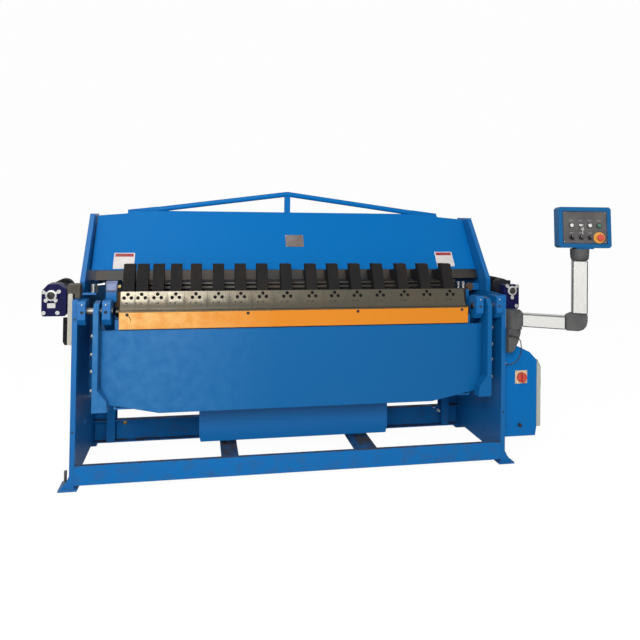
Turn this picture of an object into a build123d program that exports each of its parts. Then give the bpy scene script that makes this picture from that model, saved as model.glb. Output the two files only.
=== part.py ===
from build123d import *
import os
from math import cos, radians, sin, tan

# Hydraulic box and pan brake, millimetres, +X to the operator's right, +Y to the rear,
# +Z up. The origin is on the floor, midway between the four floor bolts.

# Driving dimensions
bend_length = 2040.0
end_room = 212.0
plate = 28.0
frame_depth = 720.0
bolt_inset = 45.0
bolt_side = 32.0
fold_height = 953.0
fold_setback = 35.0
shelf_rise = 66.0
plate_rise = 464.0
beam_rise = 553.0
segment_widths = (80, 70, 105, 95, 130, 125, 130, 125, 160, 140, 130, 145, 140, 165, 120, 180)
segment_gap = 0.5
holder_width = 65.0
pin_radius = 20.0
rod_radius = 28.0
moving_gap = 6.0
arm_reach = 370.0
arm_angle = -27.9
post_width = 84.0
panel_turn = -10.0
panel_tilt = 4.0
cabinet_depth = 300.0

# Places that follow from the driving dimensions
shelf_height = fold_height + shelf_rise
plate_top = shelf_height + plate_rise
beam_top = fold_height + beam_rise
gear_z = shelf_height + 21
arm_seat = fold_height - 135
cabinet_top = arm_seat - 105
frame_half = bend_length / 2 + end_room
frame_outer = frame_half + plate
front = -frame_depth / 2
rear = frame_depth / 2
fold_y = front + fold_setback
blade_half = bend_length / 2
beam_half = frame_half - moving_gap
table_half = blade_half + 20
block_inner = table_half + 18
block_inner_end = block_inner + 46
arm_inner = block_inner_end + 12
arm_outer = arm_inner + 28
block_outer = arm_outer + 44
apron_half = arm_inner - 46
bolt_x = frame_outer + bolt_side
bolt_y = frame_depth / 2 - bolt_inset
rod_x = frame_half - 67
rod_u = 435.0
beam_floor = 192.0


def at_fold(points):
    return [(fold_y + u, fold_height + w) for u, w in points]


def across(points, low, high):
    outline = make_face(Polyline(*points, close=True))
    return extrude(Plane.YZ.offset(low) * outline, amount=high - low)


def along(points, low, high):
    outline = make_face(Polyline(*points, close=True))
    return extrude(Plane.XZ.offset(-low) * outline, amount=low - high)


def upright(points, low, high):
    outline = make_face(Polyline(*points, close=True))
    return extrude(Plane.XY.offset(low) * outline, amount=high - low)


def block(x_low, x_high, y_low, y_high, z_low, z_high):
    corner = Location((x_low, y_low, z_low))
    size = (x_high - x_low, y_high - y_low, z_high - z_low)
    return corner * Box(*size, align=(Align.MIN, Align.MIN, Align.MIN))


def round_bar(start, end, radius):
    axis = Vector(*end) - Vector(*start)
    return extrude(Plane(origin=start, z_dir=axis) * Circle(radius), amount=axis.length)


def hexagon(start, length):
    return extrude(Plane(origin=start, z_dir=(0, -1, 0)) * RegularPolygon(11, 6), amount=length)


def mirrored(side, low, high):
    return (low, high) if side > 0 else (-high, -low)


def flipped(side, points):
    return [(side * x, z) for x, z in points]


# Side plate with the shelf, the slanted upper part and two anchor feet.
def side_frame(side):
    bend_y = front + 203
    profile = [
        (front, 10),
        (front, shelf_height),
        (bend_y, shelf_height),
        (bend_y, shelf_height + 78),
        (bend_y + 293, plate_top),
        (rear - 60, plate_top),
        (rear, plate_top - 480),
        (rear, 10),
        (rear - 130, 10),
        (rear - 160, 40),
        (front + 160, 40),
        (front + 130, 10),
    ]
    low, high = mirrored(side, frame_half, frame_outer)
    shape = across(profile, low, high)
    boss = (side * frame_half, front + 257, 277)
    shape += round_bar(boss, (side * (frame_half - 10), boss[1], boss[2]), 16)
    low, high = mirrored(side, frame_half - 17, bolt_x + 22)
    gusset = [
        (frame_outer, 10),
        (bolt_x + 12, 10),
        (bolt_x - 2, 28),
        (frame_outer + 12, 50),
        (frame_outer, 76),
    ]
    for end in (-1, 1):
        foot_y = end * bolt_y
        foot = block(low, high, foot_y - 62, foot_y + 62, 0, 10)
        foot -= round_bar((side * bolt_x, foot_y, -1), (side * bolt_x, foot_y, 11), 9)
        outer = end * frame_depth / 2
        low_y, high_y = min(outer, outer - end * 12), max(outer, outer - end * 12)
        shape += foot + along(flipped(side, gusset), low_y, high_y)
    return shape


def rails():
    front_rail = block(-frame_half, frame_half, front - 6, front + 6, 26, 130)
    front_rail += block(-frame_half, frame_half, front - 6, front + 22, 124, 130)
    back = rear - 70
    rear_rail = block(-frame_half, frame_half, back, back + 8, 20, 160)
    rear_rail += block(-frame_half, frame_half, back - 40, back, 20, 28)
    rear_rail += block(-frame_half, frame_half, back - 40, back, 152, 160)
    posts = []
    for side in (-1, 1):
        low, high = mirrored(side, block_inner_end - 2, block_inner_end + 50)
        posts.append(block(low, high, back - 52, back - 40, 24, 300))
        low, high = mirrored(side, block_inner_end - 10, frame_half)
        posts.append(block(low, high, back, back + 8, 160, 300))
    ties = []
    for x in (-395, 428):
        tie = block(x - 46, x + 46, front + 6, back - 40, 100, 108)
        tie += block(x - 46, x - 38, front + 6, back - 40, 30, 100)
        tie += block(x + 38, x + 46, front + 6, back - 40, 30, 100)
        ties.append(tie + block(x - 46, x + 46, back - 40, back, 100, 108))
    return front_rail, rear_rail, ties, posts


def bed():
    table = across(
        at_fold([(7.2, 0), (345, 0), (345, -40), (30, -40), (7.2, -12)]),
        -table_half,
        table_half,
    )
    top = fold_height - 40
    bottom = fold_height - 498
    y = [fold_y + u for u in (85, 101, 345, 361)]
    half = block_inner_end
    girder = block(-half, half, y[0], y[1], bottom, top)
    girder += block(-half, half, y[1], y[2], bottom, bottom + 16)
    for x in (-half + 6, -500, 0, 500, half - 6):
        girder += block(x - 6, x + 6, y[1], y[2], bottom + 16, top)
    back_plate = block(-frame_half, frame_half, y[2], y[3], bottom - 60, top)
    deep_front = [
        (-575, 190),
        (-566, 150),
        (566, 150),
        (575, 190),
        (575, bottom),
        (-575, bottom),
    ]
    middle = fold_y + 165
    deep = along(deep_front, middle, middle + 14) + along(deep_front, y[2] - 14, y[2])
    deep += block(-566, 566, middle + 14, y[2] - 14, 150, 164)
    for x in (-560, 0, 560):
        deep += block(x - 6, x + 6, middle + 14, y[2] - 14, 164, bottom)
    return table, girder, back_plate, deep


def hinge_blocks(side):
    inner = [
        (-55, -38),
        (-55, 50),
        (-43, 62),
        (25, 62),
        (165, 0),
        (165, -40),
        (85, -40),
        (85, -120),
        (10, -73),
        (-20, -73),
    ]
    outer = [(-55, -38), (-55, 50), (-43, 62), (60, 62), (60, -73), (-20, -73)]
    hole = round_bar(
        (-frame_outer, fold_y, fold_height), (frame_outer, fold_y, fold_height), pin_radius
    )
    low, high = mirrored(side, block_inner, block_inner_end)
    near = across(at_fold(inner), low, high) - hole
    low, high = mirrored(side, block_outer, frame_half)
    far = across(at_fold(outer), low, high) - hole
    return [near, far]


def hinge_pin(side):
    low, high = mirrored(side, block_inner - 6, frame_half)
    return round_bar((low, fold_y, fold_height), (high, fold_y, fold_height), pin_radius)


# Folding beam: apron plate, its backing, the orange bar with the steel edge, two arms.
def apron():
    top = fold_height - 105
    bottom = top - 459
    face = fold_y - 22
    back = fold_y - 5
    edge = arm_inner - 6
    section = [
        (-edge, back),
        (-edge, face + 9),
        (-apron_half, face),
        (apron_half, face),
        (edge, face + 9),
        (edge, back),
    ]
    shape = upright(section, bottom, top)
    for side in (-1, 1):
        corner = [(790, bottom - 1), (1200, bottom - 1), (1200, bottom + 83)]
        shape -= along(flipped(side, corner), face - 1, back + 1)
    return shape


def apron_backing():
    head = [(-5, -50), (6, -50), (20, -66), (20, -150), (-5, -150)]
    skin = [
        (-5, -150),
        (20, -150),
        (58, -200),
        (58, -500),
        (30, -540),
        (-5, -540),
        (-5, -530),
        (25, -530),
        (48, -497),
        (48, -204),
        (15, -160),
        (-5, -160),
    ]
    shape = across(at_fold(head), -table_half, table_half)
    shape += across(at_fold(skin), -table_half, table_half)
    web = [(-5, -160), (15, -160), (48, -204), (48, -497), (25, -530), (-5, -530)]
    for x in (-table_half + 5, -500, 0, 500, table_half - 5):
        shape += across(at_fold(web), x - 5, x + 5)
    return shape


def fold_arm(side):
    reach = [
        (-85, 10),
        (-85, -529),
        (0, -529),
        (25, -500),
        (25, -58),
        (58, 0),
        (30, 50),
        (-60, 50),
    ]
    low, high = mirrored(side, arm_inner, arm_outer)
    axis_low = (low, fold_y, fold_height)
    axis_high = (high, fold_y, fold_height)
    shape = across(at_fold(reach), low, high) + round_bar(axis_low, axis_high, 58)
    low, high = mirrored(side, arm_inner - 26, arm_inner)
    shape += block(low, high, fold_y - 5, fold_y + 10, fold_height - 529, fold_height - 105)
    foot = [
        (arm_inner, fold_height - 410),
        (arm_inner, fold_height - 529),
        (arm_inner - 54, fold_height - 529),
        (arm_inner - 47, fold_height - 471),
    ]
    shape += along(flipped(side, foot), fold_y - 85, fold_y - 22)
    low, high = mirrored(side, arm_inner - 1, arm_outer + 1)
    bore = round_bar((low, fold_y, fold_height), (high, fold_y, fold_height), pin_radius + 0.05)
    return shape - bore


def fold_bar():
    bar = block(-blade_half - 5, blade_half + 5, fold_y - 25, fold_y - 5, fold_height - 99, fold_height - 7)
    edge = block(-table_half, table_half, fold_y - 25, fold_y - 1.5, fold_height - 7, fold_height)
    return bar, edge


# Clamping beam: leaning panel, rear box, clamp bar, truss, blades and holders.
def beam_panel():
    low, high = beam_floor, beam_top - fold_height
    rise = (high - low) / tan(radians(56.7))
    lean = [(319, low), (319 + rise, high), (333.4 + rise, high), (333.4, low)]
    shape = across(at_fold(lean), -beam_half, beam_half)
    for side in (-1, 1):
        corner = [
            (blade_half + 25, beam_top - 19),
            (blade_half + 25, beam_top + 1),
            (frame_half, beam_top + 1),
            (frame_half, beam_top - 35),
        ]
        shape -= along(flipped(side, corner), fold_y, rear + 200)
    return shape, 333.4 + rise


def beam_box(back_u):
    low, high = beam_floor, beam_top - fold_height
    floor = across(
        at_fold([(333.4, low), (back_u + 12, low), (back_u + 12, low + 12), (341.3, low + 12)]),
        -beam_half,
        beam_half,
    )
    wall = across(
        at_fold(
            [(back_u, low + 12), (back_u + 12, low + 12), (back_u + 12, high - 36), (back_u, high - 36)]
        ),
        -beam_half,
        beam_half,
    )
    cap = across(
        at_fold([(back_u, high - 36), (back_u + 12, high - 36), (back_u + 12, high), (back_u, high)]),
        -blade_half - 25,
        blade_half + 25,
    )
    slope = (back_u - 333.4) / (high - low)
    web = [
        (333.4 + 12 * slope, low + 12),
        (back_u, low + 12),
        (back_u, high - 36),
        (back_u - 36 * slope, high - 36),
    ]
    shape = floor + wall + cap
    for x in (-1050, -700, -350, 0, 350, 700, 1050):
        shape += across(at_fold(web), x - 5, x + 5)
    return shape


def bar_face(w):
    return 277 + 36 * (w - 137) / (beam_floor - 137)


def clamp_bar():
    bar = [(277, 137), (385, 137), (385, beam_floor), (bar_face(beam_floor), beam_floor)]
    rail = [(190, 75), (385, 75), (385, 137), (190, 137)]
    shape = across(at_fold(bar), -beam_half + 31, beam_half - 31)
    return shape + across(at_fold(rail), -table_half + 10, table_half - 10)


def truss(back_u):
    y = fold_y + back_u - 2
    apex = (-12, y, beam_top + 122)
    shape = Part()
    for side in (-1, 1):
        end = (side * 855, y, beam_top + 9)
        shape += round_bar(end, apex, 17)
        foot = [(1045, beam_top), (1045, beam_top + 5), (868, beam_top + 26), (820, beam_top + 26)]
        foot.append((820, beam_top))
        shape += along(flipped(side, foot), y - 12, y + 12)
    post = block(apex[0] - 19, apex[0] + 19, y - 12, y + 12, beam_top, apex[2])
    cut = block(-2000, 2000, y - 200, y + 200, beam_top - 100, beam_top)
    return shape + post - cut


def segments():
    share = bend_length / sum(segment_widths)
    edges = [-blade_half]
    for width in segment_widths:
        edges.append(edges[-1] + width * share)
    return [(low + segment_gap / 2, high - segment_gap / 2) for low, high in zip(edges, edges[1:])]


def nose_blade(low, high):
    section = [(7.5, 0.3), (27.5, 19), (51, 98), (83, 98), (83, 47), (49, 0.3)]
    return across(at_fold(section), low, high)


def holder(low, high):
    section = [
        (51, 98),
        (115, 239),
        (123, 245),
        (172, 245),
        (112, 98),
        (112, 47),
        (83, 47),
        (83, 98),
    ]
    web = [(128, 139), (160, 215), (bar_face(190), 190), (bar_face(139), 139)]
    middle = (low + high) / 2
    shape = across(at_fold(section), middle - holder_width / 2, middle + holder_width / 2)
    return shape + across(at_fold(web), middle - 12, middle + 12)


def clamp_cylinder(side):
    y = fold_y + rod_u
    x = side * rod_x
    top = fold_height + 32
    barrel = round_bar((x, y, fold_height - 253), (x, y, top), 50)
    barrel -= round_bar((x, y, fold_height - 240), (x, y, top + 1), rod_radius + 0.05)
    low, high = mirrored(side, rod_x - 60, frame_half)
    seat = block(low, high, y - 60, y + 60, fold_height - 283, fold_height - 253)
    rod = round_bar((x, y, fold_height - 230), (x, y, fold_height + beam_floor), rod_radius)
    return barrel + seat, rod


# Geared motors beside the plates, with their brackets on the shelves.
def geared_motor(side, axis_x):
    y_low, y_high = front + 50, front + 150
    z = gear_z
    inner, outer = abs(axis_x) - 77, abs(axis_x) + 52
    low = max(inner, frame_outer + 10)
    outline = [
        (low + 8, z - 115),
        (outer - 8, z - 115),
        (outer, z - 103),
        (outer, z + 24),
        (outer - 32, z + 60),
        (inner + 44, z + 60),
        (inner, z + 30),
        (inner, shelf_height + 4),
        (low, shelf_height + 4),
        (low, z - 103),
    ]
    if inner > frame_outer:
        outline.pop(-3)
        outline.pop(-2)
    case = along(flipped(side, outline), y_low, y_high)
    case += round_bar((axis_x, y_low, z), (axis_x, y_low - 8, z), 38)
    middle = side * max((inner + outer) / 2, frame_outer + 62)
    motor = block(middle - 50, middle + 50, y_high, y_high + 12, z - 18, z + 52)
    motor += round_bar((middle, y_high + 12, z + 8), (middle, y_high + 210, z + 8), 54)
    if inner > frame_outer:
        bracket = [
            (frame_half, shelf_height),
            (frame_outer, shelf_height),
            (frame_outer, z + 6),
            (inner, z + 6),
            (inner, z + 56),
            (frame_half, z + 56),
        ]
    else:
        bracket = [
            (frame_outer, z - 90),
            (frame_outer + 10, z - 90),
            (frame_outer + 10, z - 30),
            (frame_outer, z - 30),
        ]
    return case, motor, along(flipped(side, bracket), y_low + 10, y_high - 10)


def guide_plates():
    x = -frame_outer - 10
    guide = block(x - 25, x, front + 60, front + 140, gear_z - 275, gear_z + 6)
    edge = [
        (x - 25, gear_z - 275),
        (x - 25, gear_z - 125),
        (x - 48, gear_z - 125),
        (x - 48, gear_z - 257),
        (x - 38, gear_z - 275),
    ]
    strip = along(edge, front + 64, front + 80)
    for drop in (145, 160, 215, 245):
        z = gear_z - drop
        strip -= block(x - 45, x - 30, front + 60, front + 72, z, z + 7)
    return guide, strip


# Control arm on the right side plate.
arm_axis_x = frame_outer + 48


def arm_base():
    outline = [
        (frame_outer, arm_seat - 146),
        (frame_outer + 34, arm_seat - 136),
        (frame_outer + 62, arm_seat - 84),
        (frame_outer + 80, arm_seat - 24),
        (frame_outer + 80, arm_seat),
        (frame_outer, arm_seat),
    ]
    return along(outline, front - 38, front + 38)


def arm_location():
    return Location((arm_axis_x, front, 0), (0, 0, arm_angle))


def control_arm():
    root = round_bar((0, 0, arm_seat + 0.3), (0, 0, arm_seat + 112), 42)
    root += block(0, 50, -38, 38, arm_seat + 0.3, arm_seat + 102)
    half = post_width / 2
    inner = arm_reach - half - 34
    outer = arm_reach + half
    beam = block(50, inner, -36, 36, arm_seat + 16, arm_seat + 94)
    corner = [
        (inner, arm_seat + 13),
        (outer - 50, arm_seat + 13),
        (outer - 22, arm_seat + 24),
        (outer - 6, arm_seat + 46),
        (outer, arm_seat + 74),
        (outer, arm_seat + 114),
        (inner + 30, arm_seat + 114),
        (inner, arm_seat + 97),
    ]
    elbow = along(corner, -half - 3, half + 3)
    post = block(
        arm_reach - half, arm_reach + half, -half, half, arm_seat + 114, arm_seat + 428
    )
    place = arm_location()
    return place * root, place * beam, place * elbow, place * post


def panel_location():
    turn = radians(arm_angle)
    x = arm_axis_x + arm_reach * cos(turn)
    y = front + arm_reach * sin(turn)
    return Location((x, y, arm_seat + 428), (0, 0, panel_turn))


def panel_parts():
    place = panel_location()
    coupling = round_bar((0, 0, 0.3), (0, 0, 68), 53)
    face_place = place * Location((20, 0, 63), (-panel_tilt, 0, 0))
    rim = [
        (-155, 22),
        (-143, 10),
        (143, 10),
        (155, 22),
        (155, 239),
        (143, 251),
        (-143, 251),
        (-155, 239),
    ]
    case = along(rim, -35, 35)
    case -= block(-132, 132, -36, -29, 34, 227)
    face = block(-132, 132, -33, -29, 34, 227)
    wedge = across([(-34, -8), (34, -8), (34, 14), (-34, 14)], -50, 50)
    neck = face_place * wedge
    trim = place * block(-100, 100, -100, 100, 0, 68)
    neck -= trim
    return place * coupling, face_place * case + neck, face_place * face, face_place


def controls(face_place):
    parts = {}
    rings = []
    rows = (142, 70)
    names = (
        ("push_button_left", "key_switch", "push_button_middle", "push_button_right"),
        ("selector_left", "selector_middle", "selector_right", "emergency_stop"),
    )
    for z, row in zip(rows, names):
        for x, name in zip((-80, -26, 28, 82), row):
            if name == "emergency_stop":
                collar = round_bar((x, -33, z), (x, -41, z), 33)
                collar -= block(x - 5.1, x + 5.1, -42, -34, z - 5.1, z + 5.1)
                parts["estop_collar"] = face_place * collar
                shape = block(x - 5, x + 5, -50, -39.3, z - 5, z + 5)
                shape += round_bar((x, -50, z), (x, -62, z), 20)
                parts[name] = face_place * shape
                continue
            if name.startswith("push"):
                plane = Plane(origin=(x, -33, z), z_dir=(0, -1, 0))
                ring = extrude(plane * RegularPolygon(15.5, 8), amount=7)
                ring -= extrude(plane.offset(1) * RegularPolygon(12.4, 8), amount=7)
                rings.append(face_place * ring)
                shape = round_bar((x, -38.3, z), (x, -43.3, z), 11)
            else:
                shape = block(x - 4, x + 4, -54, -42, z - 12, z + 12)
                shape += block(x - 9, x + 9, -42, -33.3, z - 9, z + 9)
            parts[name] = face_place * shape
    parts["control_rings"] = rings
    return parts


# Electrical cabinet on the right side plate.
def cabinet():
    left = frame_outer
    face = front + 40
    outline = [
        (left, 141),
        (left, cabinet_top),
        (left + 60, cabinet_top),
        (left + 110, cabinet_top - 20),
        (left + 185, cabinet_top - 55),
        (left + 233, cabinet_top - 105),
        (left + 233, 192),
        (left + 225, 141),
    ]
    case = along(outline, face, face + cabinet_depth)
    x, z = left + 125, cabinet_top - 206
    plate_shape = block(x - 40, x + 40, face - 3, face, z - 40, z + 40)
    knob = round_bar((x, face - 3.3, z), (x, face - 20, z), 30)
    knob += block(x - 7, x + 7, face - 36, face - 20, z - 28, z + 28)
    door_x = left + 233
    door_outline = [
        (face + 6, 195),
        (face + cabinet_depth, 195),
        (face + cabinet_depth, cabinet_top - 113),
        (face + 40, cabinet_top - 113),
        (face + 6, cabinet_top - 147),
    ]
    door = across(door_outline, door_x + 0.3, door_x + 30)
    handle = cabinet_top - 243
    door += block(door_x + 30, door_x + 42, face + 24, face + 40, handle - 30, handle + 30)
    return case, plate_shape, knob, door


def cable_glands():
    face = front + 40
    glands = []
    for x in (frame_outer + 43, frame_outer + 117):
        glands.append(hexagon((x, face, 212), 24))
    x = frame_outer + 12
    glands.append(hexagon((x, face, cabinet_top - 119), 22))
    seat = arm_seat - 40
    upper = block(x - 10, x + 8, front - 58, front - 38, seat - 11, seat + 11)
    glands.append(upper)
    return glands


def loop_cable():
    x = frame_outer
    low = cabinet_top - 119
    high = arm_seat - 40
    route = [
        (x + 20, front - 48, high),
        (x + 62, front - 48, high),
        (x + 82, front - 46, high - 78),
        (x + 62, front - 34, low + 28),
        (x + 12, front - 14, low),
        (x + 12, front + 18, low),
    ]
    points = [Vector(*point) for point in route]
    radii = []
    for before, corner, after in zip(points, points[1:], points[2:]):
        one, two = corner - before, after - corner
        half_turn = radians(one.get_angle(two)) / 2
        radii.append(0.45 * min(one.length, two.length) / tan(half_turn))
    path = FilletPolyline(*points, radius=radii)
    print("loop cable radii", [round(radius) for radius in radii], "length", round(path.length))
    start = Plane(origin=path @ 0, z_dir=path % 0)
    return sweep(start * RegularPolygon(3.2, 6), path=path)


def write(name, shape):
    if isinstance(shape, list):
        solids = [solid for item in shape for solid in item.solids()]
        shape = Compound(children=solids)
    export_step(shape, f"parts/{name}.step")


def main():
    os.makedirs("parts", exist_ok=True)
    parts = {}
    pins, barrels, rods, brackets = [], [], [], []
    for side, word in ((-1, "left"), (1, "right")):
        parts[f"side_frame_{word}"] = side_frame(side)
        parts[f"hinge_blocks_{word}"] = hinge_blocks(side)
        parts[f"fold_arm_{word}"] = fold_arm(side)
        axis_x = -frame_outer - 117 if side < 0 else frame_outer + 62
        case, motor, bracket = geared_motor(side, axis_x)
        parts[f"gearbox_{word}"] = case
        parts[f"gear_motor_{word}"] = motor
        barrel, rod = clamp_cylinder(side)
        barrels.append(barrel)
        rods.append(rod)
        brackets.append(bracket)
        pins.append(hinge_pin(side))
    parts["hinge_pins"] = pins
    parts["clamp_cylinders"] = barrels
    parts["clamp_rods"] = rods
    parts["gearbox_brackets"] = brackets
    front_rail, rear_rail, ties, posts = rails()
    parts["front_rail"] = front_rail
    parts["rear_rail"] = rear_rail
    parts["base_ties"] = ties
    parts["rail_posts"] = posts
    table, girder, back_plate, deep = bed()
    parts["bed_table"] = table
    parts["bed_girder"] = girder
    parts["bed_back_plate"] = back_plate
    parts["bed_deep_box"] = deep
    parts["apron_plate"] = apron()
    parts["apron_backing"] = apron_backing()
    parts["fold_bar"], parts["fold_edge"] = fold_bar()
    parts["beam_panel"], back_u = beam_panel()
    parts["beam_box"] = beam_box(back_u)
    parts["clamp_bar"] = clamp_bar()
    parts["beam_truss"] = truss(back_u)
    parts["nose_blades"] = [nose_blade(low, high) for low, high in segments()]
    parts["finger_holders"] = [holder(low, high) for low, high in segments()]
    parts["guide_plate"], parts["slotted_strip"] = guide_plates()
    parts["arm_base"] = arm_base()
    parts["arm_root"], parts["arm_profile"], parts["arm_elbow"], parts["arm_post"] = control_arm()
    coupling, case, face, face_place = panel_parts()
    parts["panel_coupling"] = coupling
    parts["panel_case"] = case
    parts["panel_face"] = face
    parts.update(controls(face_place))
    parts["cabinet"], parts["switch_plate"], parts["main_switch"], parts["cabinet_door"] = cabinet()
    parts["cable_glands"] = cable_glands()
    parts["loop_cable"] = loop_cable()
    for name, shape in parts.items():
        write(name, shape)


main()
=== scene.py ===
from math import cos, pi, radians, sin
import bpy
from mathutils import Matrix, Vector


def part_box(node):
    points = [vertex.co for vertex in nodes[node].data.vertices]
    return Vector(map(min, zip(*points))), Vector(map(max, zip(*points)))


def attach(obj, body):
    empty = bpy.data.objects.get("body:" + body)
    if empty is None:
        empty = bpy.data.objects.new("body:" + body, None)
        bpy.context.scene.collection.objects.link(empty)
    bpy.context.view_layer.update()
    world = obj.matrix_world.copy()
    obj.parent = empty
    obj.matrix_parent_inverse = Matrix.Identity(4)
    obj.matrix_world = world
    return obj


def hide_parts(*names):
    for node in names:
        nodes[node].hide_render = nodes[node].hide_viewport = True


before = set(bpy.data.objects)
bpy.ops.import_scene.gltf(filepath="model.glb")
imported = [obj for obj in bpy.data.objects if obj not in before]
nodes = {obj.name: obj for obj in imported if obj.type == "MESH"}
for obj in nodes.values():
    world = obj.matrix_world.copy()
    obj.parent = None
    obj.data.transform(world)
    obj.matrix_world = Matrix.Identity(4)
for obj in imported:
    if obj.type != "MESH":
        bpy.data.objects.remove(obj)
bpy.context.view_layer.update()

# The camera stands a little left of the middle of the machine, at eye height, and looks
# slightly to the right, as a visitor in the aisle would photograph it.
eye = Vector((-0.5936, -3.7885, 1.5135))
yaw, pitch, roll = 0.1759, 0.0157, 0.0134
ahead = Vector((sin(yaw) * cos(pitch), cos(yaw) * cos(pitch), sin(pitch)))
level = Vector((cos(yaw), -sin(yaw), 0))
upward = level.cross(ahead)
sideways = level * cos(roll) + upward * sin(roll)
upward = upward * cos(roll) - level * sin(roll)
camera_data = bpy.data.cameras.new("camera")
camera_data.lens = 33.98
camera_data.shift_x = 0.0204
camera_data.shift_y = -0.1843
camera = bpy.data.objects.new("camera", camera_data)
turn = Matrix((sideways, upward, -ahead)).transposed().to_4x4()
camera.matrix_world = Matrix.Translation(eye) @ turn
bpy.context.scene.collection.objects.link(camera)
bpy.context.scene.camera = camera
bpy.context.scene.view_settings.view_transform = "Standard"


# The loop of black cable runs from the arm casting to the gland on the cabinet. It is a
# rubber covered control cable, 6 mm thick, and it springs out in one open bend.
def add_node(tree, kind, **inputs):
    node = tree.nodes.new("ShaderNode" + kind)
    for name, value in inputs.items():
        socket = node.inputs[name.replace("_", " ")]
        if isinstance(value, bpy.types.NodeSocket):
            tree.links.new(value, socket)
        else:
            socket.default_value = value
    return node


def new_group(name, inputs, outputs):
    group = bpy.data.node_groups.new(name, "ShaderNodeTree")
    for label, kind, value in inputs:
        socket = group.interface.new_socket(label, in_out="INPUT", socket_type="NodeSocket" + kind)
        socket.default_value = value
    for label, kind in outputs:
        group.interface.new_socket(label, in_out="OUTPUT", socket_type="NodeSocket" + kind)
    return group, group.nodes.new("NodeGroupInput"), group.nodes.new("NodeGroupOutput")


def maths(tree, kind, first, second, clamp=False):
    node = tree.nodes.new("ShaderNodeMath")
    node.operation = kind
    node.use_clamp = clamp
    for socket, value in zip(node.inputs, (first, second)):
        if isinstance(value, bpy.types.NodeSocket):
            tree.links.new(value, socket)
        else:
            socket.default_value = value
    return node.outputs[0]


def span(tree, value, low, high, new_low=0.0, new_high=1.0):
    node = add_node(tree, "MapRange", Value=value, From_Min=low, From_Max=high)
    node.inputs["To Min"].default_value = new_low
    node.inputs["To Max"].default_value = new_high
    return node.outputs[0]


def blended(tree, mask, first, second):
    node = tree.nodes.new("ShaderNodeMix")
    node.data_type = "RGBA"
    for socket, value in zip((node.inputs[0], node.inputs[6], node.inputs[7]), (mask, first, second)):
        if isinstance(value, bpy.types.NodeSocket):
            tree.links.new(value, socket)
        else:
            socket.default_value = value
    return node.outputs[2]


def noise(tree, scale, detail=3.0, stretch=None):
    place = tree.nodes.new("ShaderNodeTexCoord").outputs["Object"]
    if stretch:
        place = add_node(tree, "Mapping", Vector=place, Scale=stretch).outputs[0]
    return add_node(tree, "TexNoise", Vector=place, Scale=scale, Detail=detail).outputs["Fac"]


def colour(red, green, blue):
    steps = [value / 255 for value in (red, green, blue)]
    return [v / 12.92 if v <= 0.04045 else ((v + 0.055) / 1.055) ** 2.4 for v in steps] + [1.0]


def rounded_normal(tree, radius):
    bevel = add_node(tree, "Bevel", Radius=radius)
    bevel.samples = 6
    return bevel.outputs[0]


moulded, inside, outside = new_group(
    "moulded grain",
    [("Colour", "Color", (0.5, 0.5, 0.5, 1)), ("Roughness", "Float", 0.5), ("Grain", "Float", 900.0)],
    [("Colour", "Color"), ("Roughness", "Float"), ("Normal", "Vector")],
)
speckle = noise(moulded, 14.0, 5.0)
film = span(moulded, speckle, 0.35, 0.75, 0.0, 0.22)
dull = blended(moulded, film, inside.outputs["Colour"], (0.30, 0.28, 0.25, 1))
grit = add_node(moulded, "TexNoise", Scale=inside.outputs["Grain"], Detail=2.0)
moulded.links.new(moulded.nodes.new("ShaderNodeTexCoord").outputs["Object"], grit.inputs["Vector"])
edge = rounded_normal(moulded, 0.0012)
bump = add_node(moulded, "Bump", Strength=0.12, Distance=0.0004, Height=grit.outputs["Fac"], Normal=edge)
moulded.links.new(dull, outside.inputs["Colour"])
uneven = span(moulded, speckle, 0.3, 0.7, -0.08, 0.12)
rough = maths(moulded, "ADD", inside.outputs["Roughness"], uneven, True)
moulded.links.new(rough, outside.inputs["Roughness"])
moulded.links.new(bump.outputs[0], outside.inputs["Normal"])


def dressed(name, group, settings, metallic=0.0, coat=0.0, shine=0.5, coat_blur=0.03):
    material = bpy.data.materials.new(name)
    material.use_nodes = True
    tree = material.node_tree
    shader = tree.nodes["Principled BSDF"]
    shader.inputs["Specular IOR Level"].default_value = shine
    shader.inputs["Metallic"].default_value = metallic
    shader.inputs["Coat Weight"].default_value = coat
    shader.inputs["Coat Roughness"].default_value = coat_blur
    effect = tree.nodes.new("ShaderNodeGroup")
    effect.node_tree = group
    for label, value in settings.items():
        effect.inputs[label].default_value = value
    for label, target in (
        ("Colour", "Base Color"),
        ("Roughness", "Roughness"),
        ("Metallic", "Metallic"),
        ("Normal", "Normal"),
    ):
        if label in effect.outputs:
            tree.links.new(effect.outputs[label], shader.inputs[target])
    return material


def moulded_finish(name, tint, roughness, grain=900.0):
    values = {"Colour": tint, "Roughness": roughness, "Grain": grain}
    return dressed(name, moulded, values, shine=0.25)


def painted(piece, material):
    piece.data.materials.clear()
    piece.data.materials.append(material)


def round_line(name, route, radius, roundness, sizes=None):
    curve = bpy.data.curves.new(name + "_line", "CURVE")
    curve.dimensions = "3D"
    curve.bevel_depth = radius
    curve.bevel_resolution = roundness
    line = curve.splines.new("NURBS")
    line.points.add(len(route) - 1)
    for point, place, size in zip(line.points, route, sizes or [1.0] * len(route)):
        point.co = (*place, 1.0)
        point.radius = size
    line.order_u = 3
    line.use_endpoint_u = True
    piece = bpy.data.objects.new(name, curve)
    bpy.context.scene.collection.objects.link(piece)
    return piece


cable_rubber = moulded_finish("cable_rubber", colour(24, 24, 24), 0.55, 1500.0)
route = [
    (1.272, -0.408, 0.778),
    (1.322, -0.408, 0.778),
    (1.342, -0.406, 0.700),
    (1.322, -0.394, 0.622),
    (1.272, -0.374, 0.594),
    (1.272, -0.342, 0.594),
]
cable = round_line("control_cable", route, 0.003, 3)
painted(cable, cable_rubber)
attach(cable, "frame")
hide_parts("loop_cable")


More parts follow.
